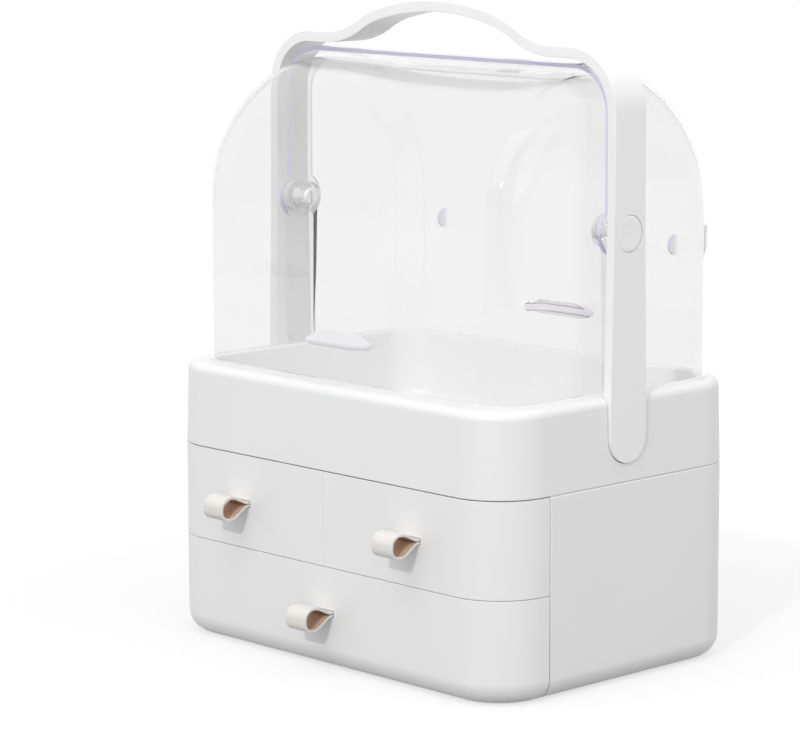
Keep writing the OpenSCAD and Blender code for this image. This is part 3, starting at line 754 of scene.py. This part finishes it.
bm = bmesh.new()
near, far = (bm.verts.new(at(0, y, TOTAL_H)) for y in (-TOP_W / 2, TOP_W / 2))
line = [near, far, bm.edges.new((near, far))]
line = turn(bm, line, at(0, 0, TOTAL_H - CROWN_R), ALONG_Y, CROWN_A, 8)
line = turn(bm, line, at(TURN_X, 0, TURN_Z), ALONG_Y, TURN_A - CROWN_A, 6)
line = turn(bm, line, at(HOLLOW_X, 0, HOLLOW_Z), ALONG_Y, -TURN_A, 10)
line = draw_out(bm, line, at(ARM_OUT - HANDLE_R - HOLLOW_X, 0, 0))
line = turn(bm, line, at(ARM_OUT - HANDLE_R, 0, ARM_TOP), ALONG_Y, 90, 18)
level = ARM_TOP
for z in ARM_LEVELS:
    line = draw_out(bm, line, at(0, 0, z - level))
    share = min(1.0, max(0.0, (TAPER_Z - z) / (TAPER_Z - RIM_Z)))
    widen(bm, line, TOP_W + (FOOT_W - TOP_W) * share)
    level = z
for step in range(1, FOOT_STEPS + 1):
    angle = math.radians(step * FOOT_STEP_A)
    z = FOOT_Z + FOOT_W / 2 * (1 - math.sin(angle))
    line = draw_out(bm, line, at(0, 0, z - level))
    widen(bm, line, FOOT_W * math.cos(angle))
    level = z
line = draw_out(bm, line, at(0, 0, FOOT_Z - level))
bmesh.ops.scale(bm, verts=points_in(line), vec=(1, 0, 1))
bmesh.ops.mirror(bm, geom=bm.faces[:] + drawn_line(bm), axis="X", merge_dist=0.01 * MM)
face_outwards(bm, at(0, 0, PIVOT_Z))
handle = make_object("handle_band", bm, white_handle_painted_light)
wall(handle, BAND_T)
apply_modifiers(handle)

# %% [markdown]
# The arms are a little thinner than the grip, so the points of their inner faces are
# moved out, more and more down the first 40 mm. The band's long edges are rounded, about
# 2 mm on top and round the corners. On the outside the radius fades out down the arms,
# so that they close flush with the tray, and on the inside it stays. A Bevel modifier by
# weight does that: each long edge gets a weight by its level. The caps of the pivots
# sit in round recesses.

# %% The handle's edges and the recesses of the pivot caps
CAP_D, CAP_T, CAP_GAP = 19.0, 1.7, 0.2
HANDLE_EDGE_R, LEAST_SHARE, THINNING_H = 2.0, 0.12, 40

bm = bmesh.new()
bm.from_mesh(handle.data)
band_in = ARM_OUT - BAND_T
for v in bm.verts:
    if abs(abs(v.co.x) / MM - band_in) < 0.01 and v.co.z < ARM_TOP * MM:
        share = min(1.0, (ARM_TOP - v.co.z / MM) / THINNING_H)
        v.co.x = math.copysign((band_in + (ARM_IN - band_in) * share) * MM, v.co.x)
weight = bm.edges.layers.float.new("bevel_weight_edge")
for edge in bm.edges:
    if edge.calc_face_angle(0.0) > SHARP:
        middle = sum((v.co for v in edge.verts), Vector()) / 2 / MM
        on_inside = abs(middle.x) < ARM_OUT - 2 and middle.z > RIM_Z
        fading = min(1.0, max(LEAST_SHARE, (middle.z - RIM_Z) / (SHOULDER_Z - RIM_Z)))
        edge[weight] = 1.0 if on_inside else fading
bm.to_mesh(handle.data)
bm.free()
soft_edges(handle, HANDLE_EDGE_R, segments=4, by_weight=True)
apply_modifiers(handle)
for side in (-1, 1):
    cut(handle, rod(side * (ARM_OUT - CAP_T), side * (ARM_OUT + BEYOND), CAP_D + 2 * CAP_GAP,
                    0, PIVOT_Z))
smooth(handle)
stands_for(handle, "handle")

# %% [markdown]
# A cap is a thin disc with a broken edge. Its half section is a short line from the
# pivot line outwards, turned once round. A full turn uses the merge option, so that its
# last step joins its first.

# %% The pivot caps
def turned_disc(name, x, outline, steps=64):
    """A disc whose half section, as radius and place along X, turns about the pivot line."""
    bm = bmesh.new()
    points = [bm.verts.new(at(px, 0, PIVOT_Z + pr)) for pr, px in outline]
    rims = [bm.edges.new(pair) for pair in zip(points, points[1:])]
    bmesh.ops.spin(bm, geom=points + rims, cent=at(0, 0, PIVOT_Z), axis=ALONG_X,
                   angle=math.tau, steps=steps, use_merge=True)
    face_outwards(bm, at(x, 0, PIVOT_Z))
    return make_object(name, bm, white_handle_painted_light)


CAP_EDGE = 0.45

for side, name in ((-1, "left"), (1, "right")):
    outer, inner = side * ARM_OUT, side * (ARM_OUT - CAP_T)
    edge = side * CAP_EDGE
    outline = ((0, outer - edge * 0.3), (5, outer - edge * 0.3), (7, outer),
               (CAP_D / 2 - 0.9, outer), (CAP_D / 2 - 0.3, outer - edge * 0.35),
               (CAP_D / 2, outer - edge), (CAP_D / 2, inner), (0, inner))
    cap = turned_disc(f"{name}_cap", (outer + inner) / 2, outline)
    smooth(cap)
    stands_for(cap, f"pivot_cap_{name}")

# %% [markdown]
# ## The clear covers
#
# Each cover is half of a box with a rounded top, cut in two over the pivot line. The
# whole form is made first, because it is simple: half of its plan, from one pivot round
# the front to the other, is drawn at the rim, carried up to the pivot line, turned half
# round about that line, and carried down again. A wall of 2 mm makes it a shell. The
# cover is what the shell shares with a slab: everything in front of a plane just past
# the pivot line, with a round ear at the pivots and a rounded lower corner. Below the
# pivots the free edge leans out a little towards its foot.

# %% Helpers for the covers
COVER_Z, COVER_T, OVERLAP, LEAN, EAR_R, LOW_R = 152.7, 2.0, 7.0, 1.3, 13.0, 5.0
CORNER_CUTS, ARC_CUTS = 26, 180
SLAB_HALF_W, SLAB_DEPTH = 141.5, 120.0


def cover_shell(name, half_w, radius, corner, rim):
    """The full form of a cover, front and rear, as a thin shell."""
    bm = bmesh.new()
    line = [bm.verts.new(at(half_w, 0, COVER_Z))]
    line = draw_out(bm, line, at(0, corner - radius, 0))
    line = turn(bm, line, at(half_w - corner, corner - radius, 0), UP, -90, CORNER_CUTS)
    line = draw_out(bm, line, at(-2 * (half_w - corner), 0, 0))
    line = turn(bm, line, at(corner - half_w, corner - radius, 0), UP, -90, CORNER_CUTS)
    draw_out(bm, line, at(0, radius - corner, 0))
    line = draw_out(bm, drawn_line(bm), at(0, 0, PIVOT_Z - COVER_Z))
    line = turn(bm, line, at(0, 0, PIVOT_Z), ALONG_X, -180, ARC_CUTS)
    draw_out(bm, line, at(0, 0, COVER_Z - PIVOT_Z))
    face_outwards(bm, at(0, 0, PIVOT_Z - 20))
    shell = make_object(name, bm, clear_wall, rim, pale_rim)
    wall(shell, COVER_T)
    apply_modifiers(shell)
    return shell


def cover_slab(way):
    """The space that a cover keeps: way is -1 for the front cover and 1 for the rear."""
    bm = bmesh.new()
    x, back, edge = -SLAB_HALF_W, way * SLAB_DEPTH, -way * OVERLAP
    line = [bm.verts.new(at(x, back, COVER_Z - BEYOND))]
    foot = edge - way * LEAN
    line = draw_out(bm, line, at(0, foot + way * LOW_R - back, 0))
    line = draw_out(bm, line, at(0, 0, BEYOND))
    line = turn(bm, line, at(x, foot + way * LOW_R, COVER_Z + LOW_R), ALONG_X, -way * 90, 8)
    spread = math.degrees(math.acos(OVERLAP / EAR_R))
    drop = EAR_R * math.sin(math.radians(spread))
    line = draw_out(bm, line, at(0, edge - foot, PIVOT_Z - drop - COVER_Z - LOW_R))
    line = turn(bm, line, at(x, 0, PIVOT_Z), ALONG_X, -way * 2 * spread, 24)
    line = draw_out(bm, line, at(0, 0, TOTAL_H - PIVOT_Z - drop))
    draw_out(bm, line, at(0, back - edge, 0))
    merge(bm)
    bmesh.ops.contextual_create(bm, geom=bm.verts[:])
    thicken(bm, at(-2 * x, 0, 0))
    return make_object("cover slab", bm)


# %% [markdown]
# The cut faces of the rim get the second finish. They are found by where they look: a
# rim face looks along the cut, while the faces of the wall look outwards or inwards. The
# front cover carries a boss at each pivot. The rear one has two half-round stop fins,
# which are violet on their round side and pale on the flat ones.

# %% The front and the rear cover
FRONT_HALF_W, FRONT_R, FRONT_CORNER_R = 119.5, 79.5, 20.5
REAR_HALF_W, REAR_R, REAR_CORNER_R = 123.5, 85.5, 24.5
BOSS_D, BOSS_X0, BOSS_X1 = 17.0, 112.5, 121.3
BORE_D, FRONT_BORE_X, REAR_BORE_X, BORE_END_X = 8.12, 110.0, 120.0, 125.0
FIN_X, FIN_T, FIN_R, FIN_Y, FIN_Z, FIN_ROOT = 88.5, 1.8, 5.7, 83.5, 219.3, 0.5


def stop_fin(side):
    """A half-round fin on the inside of the rear wall, rooted a little way in it."""
    bm = bmesh.new()
    x = side * FIN_X - FIN_T / 2
    line = [bm.verts.new(at(x, FIN_Y + FIN_ROOT, FIN_Z - FIN_R))]
    line = draw_out(bm, line, at(0, -FIN_ROOT, 0))
    line = turn(bm, line, at(x, FIN_Y, FIN_Z), ALONG_X, -180, 20)
    line = draw_out(bm, line, at(0, FIN_ROOT, 0))
    draw_out(bm, line, at(0, 0, -2 * FIN_R))
    return block("stop fin", bm, at(FIN_T, 0, 0))


def mark_rims(piece, way):
    """Gives the cut faces of a cover the finish of the rim."""
    for face in piece.data.polygons:
        x, y, z = face.center / MM
        past = -way * y
        across = abs(face.normal.y) > 0.9 and -0.05 < past - OVERLAP < LEAN + 0.05
        cut_face = abs(face.normal.x) < 0.05 and abs(x) > 100
        ear = cut_face and 0.5 < past < EAR_R and abs(z - PIVOT_Z) < EAR_R + 1
        corner = cut_face and past > OVERLAP - LOW_R and COVER_Z + 0.1 < z < COVER_Z + LOW_R
        on_fin = (way > 0 and abs(abs(x) - FIN_X) < FIN_T and y < FIN_Y - 0.05
                  and math.hypot(y - FIN_Y, z - FIN_Z) < FIN_R + 0.2)
        if across or ear or corner or (on_fin and abs(face.normal.x) < 0.5):
            face.material_index = 1
        elif on_fin:
            face.material_index = 2


def finish_cover(piece, way, node):
    mark_rims(piece, way)
    soft_edges(piece, 0.3, angle=50, segments=2)
    smooth(piece)
    stands_for(piece, node)


front_cover = cover_shell("front_shell", FRONT_HALF_W, FRONT_R, FRONT_CORNER_R, pale_rim)
cut(front_cover, cover_slab(-1), "INTERSECT")
for side in (-1, 1):
    cut(front_cover, rod(side * BOSS_X0, side * BOSS_X1, BOSS_D, 0, PIVOT_Z), "UNION")
    cut(front_cover, rod(side * FRONT_BORE_X, side * BORE_END_X, BORE_D, 0, PIVOT_Z, 48))
finish_cover(front_cover, -1, "front_cover")

rear_cover = cover_shell("rear_shell", REAR_HALF_W, REAR_R, REAR_CORNER_R, clear_rim)
cut(rear_cover, cover_slab(1), "INTERSECT")
for side in (-1, 1):
    cut(rear_cover, stop_fin(side), "UNION")
    cut(rear_cover, rod(side * REAR_BORE_X, side * BORE_END_X, BORE_D, 0, PIVOT_Z, 48))
finish_cover(rear_cover, 1, "rear_cover")

# %% [markdown]
# Each cover is opened by a small lip on its wall, as long as a finger. Its section is a
# wedge: it slopes down from the wall, rolls round a soft rim and comes back level. Such
# a section can be carried too, a quarter turn round one end, straight across, and a
# quarter turn round the other, and its open back closes flat on the wall. Sections and
# straps both follow straight runs and bends, so a helper keeps the place and the
# heading, and each bend starts exactly where the last one ended.

# %% Helper: a line carried along straight runs and bends
def strip_along(bm, line, place, moves, heading=0.0):
    """Carries a line along straight runs (0, length) and bends (radius, degrees).

    The way lies in an upright plane across the front. A heading of 0 leads straight out
    of the front, and one of 90 leads up.
    """
    heading = math.radians(heading)
    for radius, amount in moves:
        if radius == 0:
            step = Vector((0, -math.cos(heading), math.sin(heading))) * amount * MM
            line = draw_out(bm, line, step)
            place = place + step
            continue
        side = math.copysign(radius * MM, amount)
        centre = place + Vector((0, math.sin(heading), math.cos(heading))) * side
        line = turn(bm, line, centre, ALONG_X, -amount, max(3, round(abs(amount) / 7)))
        heading += math.radians(amount)
        place = centre - Vector((0, math.sin(heading), math.cos(heading))) * side
    return place


# %% The finger tabs
TAB_W, TAB_D, TAB_TOP, TAB_SLOPE, TAB_STEPS = 47.0, 9.0, 179.3, -24, 14
TAB_SECTION = ((0, 8.55), (2.0, -150), (0, 7.25))


def finger_tab(name, wall_y, way, finish, node):
    """A lip on the wall of a cover: way is -1 in front and 1 at the back."""
    bm = bmesh.new()
    x = TAB_W / 2 - TAB_D
    start = at(-x, 0, TAB_TOP)
    strip_along(bm, [bm.verts.new(start)], start, TAB_SECTION, TAB_SLOPE)
    bmesh.ops.rotate(bm, verts=bm.verts[:], cent=at(-x, 0, 0),
                     matrix=Matrix.Rotation(math.radians(-90), 3, "Z"))
    line = turn(bm, drawn_line(bm), at(-x, 0, 0), UP, 90, TAB_STEPS)
    line = draw_out(bm, line, at(2 * x, 0, 0))
    turn(bm, line, at(x, 0, 0), UP, 90, TAB_STEPS)
    merge(bm)
    bmesh.ops.holes_fill(bm, edges=[e for e in bm.edges if e.is_boundary], sides=0)
    if way > 0:
        bmesh.ops.rotate(bm, verts=bm.verts[:], cent=(0, 0, 0),
                         matrix=Matrix.Rotation(math.pi, 3, "Z"))
    bmesh.ops.translate(bm, verts=bm.verts[:], vec=at(0, wall_y, 0))
    face_outwards(bm, at(0, wall_y + way * TAB_D / 2, TAB_TOP - 5))
    print("open edges:", sum(e.is_boundary for e in bm.edges), end="; ")
    tab = make_object(name, bm, finish)
    smooth(tab, 60)
    stands_for(tab, node)


finger_tab("front_tab", -FRONT_R, -1, painted_reflection_white, "front_finger_tab")
finger_tab("rear_tab", REAR_R, 1, lilac, "rear_finger_tab")

# %% [markdown]
# ## The pulls
#
# A pull is a strip of leather, folded in two and drawn into a slot, so that it makes a
# loop. Its stiffness gives it its shape: the upper layer leaves the slot level, rises,
# and rolls over in one round bend, and the lower one comes back in a slack S. A strip
# has one even width and wall, so the line across it is carried along the way it takes.
# Then Solidify gives it its wall, with the tan side of the leather as the inner finish.

# %% The leather pulls
STRAP_W, STRAP_T, LAYER, TAIL = 15.0, 1.4, 0.8, 7.2
IN_LOOP_Y, IN_LOOP_Z = -13.4, -0.9  # a place inside the loop
LOOP = ((0, 8.2), (4.0, 26), (0, 6.85), (8.0, -26), (0, 1.25), (5.6, -90), (0, 1.6),
        (4.4, -90), (0, 2.45), (5.0, -34), (0, 7.3), (5.0, 34), (0, 7.95))


def leather_pull(name, x, z, node):
    """A folded strip through the slot at a place."""
    bm = bmesh.new()
    start = at(x, FRONT_Y + TAIL, z + LAYER)
    ends = [bm.verts.new(start + at(half, 0, 0)) for half in (-STRAP_W / 2, STRAP_W / 2)]
    end = strip_along(bm, ends + [bm.edges.new(ends)], start, LOOP)
    face_outwards(bm, at(x, FRONT_Y + IN_LOOP_Y, z + IN_LOOP_Z))
    pull = make_object(name, bm, cream, tan)
    wall(pull, STRAP_T, inner_finish=1)
    pull.modifiers["wall"].offset = 0
    soft_edges(pull, 0.25, angle=50, segments=2)
    smooth(pull, 50)
    stands_for(pull, node)
    print("  its end lies", [round(v / MM, 2) for v in end - start], "from its start")


leather_pull("left_pull", -HIGH_PULL_X, HIGH_PULL_Z, "left_drawer_pull")
leather_pull("right_pull", HIGH_PULL_X, HIGH_PULL_Z, "right_drawer_pull")
leather_pull("bottom_pull", 0, LOW_PULL_Z, "bottom_drawer_pull")

# %% [markdown]
# ## What the CAD model already has right
#
# The boxes, the shelf, the divider, the clips, pins, washers, screws and pads have the
# right shape, so they stay, and get the finishes above.

# %% Finishes for the CAD nodes that stay
def dress(finish, *nodes):
    for node in nodes:
        mesh = frame["nodes"][node].data
        mesh.materials.clear()
        mesh.materials.append(finish)
    print(finish.name, "on", ", ".join(nodes))


dress(white_inner, "drawer_shelf", "drawer_divider", "left_drawer_box", "right_drawer_box",
      "bottom_drawer_box", "left_pull_clip", "right_pull_clip", "bottom_pull_clip")
dress(white_handle_painted_light, "pivot_pin_left", "pivot_pin_right", "pivot_washer_left",
      "pivot_washer_right")
dress(steel, "tray_screws", "handle_screws")
dress(rubber, "rubber_pads")

# %% [markdown]
# ## Floor, light and camera
#
# A look through the covers crosses many clear surfaces, and each one counts as a bounce.
# With too few bounces the light would be cut off on the way, and the far arm would turn
# grey. So the limits go up first.

# %% Long light paths
paths = bpy.context.scene.cycles
paths.max_bounces = 24
paths.transmission_bounces = 24
paths.transparent_max_bounces = 32
print("bounces:", paths.max_bounces, "transparent:", paths.transparent_max_bounces)

# %% [markdown]
# The object stands on a plain pale floor. What the camera sees of the floor is mostly a
# glow, and only a little of its brightness comes from the lamps, so that the object's
# faint shadow stays. The glow is weaker near the object, which is painted shade: it
# darkens the floor round the object's foot, on top of its real shadow. Further out the
# glow brings the open floor to white. The world is white too where it is seen directly,
# in a mirror or through clear plastic. All other rays meet a darker floor and a softer
# world, and these light the object evenly from all sides.

# %% The floor and the world
SEEN = ("Is Camera Ray", "Is Glossy Ray", "Is Transmission Ray")
AMBIENT = 0.80
FLOOR_LIT, FLOOR_SHADE = 0.36, 0.32
NEAR, FAR, NEAR_GLOW_PAINTED_SHADE, FAR_GLOW = 0.25, 0.90, 0.645, 0.80
FLOOR_HALF_W = 12


def bare_tree(owner):
    """The emptied node tree of a material or a world."""
    owner.use_nodes = True
    owner.node_tree.nodes.clear()
    return owner.node_tree


bm = bmesh.new()
bmesh.ops.create_grid(bm, x_segments=1, y_segments=1, size=FLOOR_HALF_W)
floor = make_object("floor", bm)
floor_finish = bpy.data.materials.new("pale_floor")
tree = bare_tree(floor_finish)
lit = add_node(tree, "BsdfDiffuse", Color=grey(FLOOR_LIT))
faint = add_node(tree, "BsdfDiffuse", Color=grey(FLOOR_SHADE))
reach = tree.nodes.new("ShaderNodeVectorMath")
reach.operation = "LENGTH"
feed(tree, add_node(tree, "TexCoord").outputs["Object"], reach.inputs[0])
# Painted shade: the glow is weakest within NEAR of the floor's middle, under the object, and
# full from FAR out.
fade = add_node(tree, "MapRange", Value=reach.outputs["Value"], From_Min=NEAR, From_Max=FAR,
                To_Min=NEAR_GLOW_PAINTED_SHADE, To_Max=FAR_GLOW)
glow = add_node(tree, "Emission", Strength=fade.outputs["Result"])
both = tree.nodes.new("ShaderNodeAddShader")
feed(tree, faint.outputs[0], both.inputs[0])
feed(tree, glow.outputs[0], both.inputs[1])
choose(tree, either(tree, *SEEN), lit, both, tree.nodes.new("ShaderNodeOutputMaterial"))
floor.data.materials.append(floor_finish)

world = bpy.data.worlds.new("studio")
bpy.context.scene.world = world
tree = bare_tree(world)
soft = add_node(tree, "Background", Color=grey(1), Strength=AMBIENT)
white = add_node(tree, "Background", Color=grey(1), Strength=1.0)
choose(tree, either(tree, *SEEN), soft, white, tree.nodes.new("ShaderNodeOutputWorld"))
print("ambient light:", AMBIENT)

# %% [markdown]
# A small lamp in front, a little to the right and above, throws the pulls' crisp shadows
# and is the only one that gloss shows. Three large soft ones, in front, above and at the
# right, set how bright the front, the tops and the side are. In the clear covers they
# would show as long bright streaks, so gloss doesn't see them.

# %% The lamps
def lamp(name, kind, energy, towards, place=(0, 0, 1.5)):
    """A lamp at a place, that shines along a direction."""
    data = bpy.data.lights.new(name, kind)
    data.energy = energy
    thing = put_in_scene(name, data)
    thing.location = place
    thing.rotation_euler = Vector(towards).to_track_quat("-Z", "Y").to_euler()
    return thing


KEY, KEY_A = 0.82, 3.0
BOXES = (("front box", 1.9, (-0.1, 0.6, -0.7), (0.10, -0.60, 0.95), 0.7),
         ("top box", 0.72, (0, 0, -1), (0.10, 0.05, 1.15), 0.9),
         ("side box", 1.55, (-1.0, 0.10, -0.55), (1.00, -0.10, 0.75), 0.7))

lamp("key", "SUN", KEY, (-0.41, 1.0, -0.63)).data.angle = math.radians(KEY_A)
for name, energy, towards, place, size in BOXES:
    box = lamp(name, "AREA", energy, towards, place)
    box.data.size = size
    box.visible_glossy = False
print("key", KEY, "boxes", [box[1] for box in BOXES])

# %% [markdown]
# The camera stands about 1.8 m away, to the right of the front, and looks down by nine
# degrees, with a long lens. Its place was fitted to the edges of the object. A small
# shift moves the picture's frame sideways without turning the view.

# %% The camera
CAMERA_PLACE = (1.2637, -1.2287, 0.4375)
FROM_UPRIGHT, TO_THE_RIGHT = 80.729, 45.722
LENS_MM, SENSOR_MM, SHIFT = 147.886, 36.0, -0.0675

lens = bpy.data.cameras.new("camera")
lens.sensor_width = SENSOR_MM
lens.lens = LENS_MM
lens.shift_x = SHIFT
lens.clip_end = 50.0
camera = put_in_scene("camera", lens)
camera.location = CAMERA_PLACE
camera.rotation_euler = (math.radians(FROM_UPRIGHT), 0.0, math.radians(TO_THE_RIGHT))
bpy.context.scene.camera = camera
bpy.context.scene.view_settings.view_transform = "Standard"

# %% The end
bpy.context.view_layer.update()
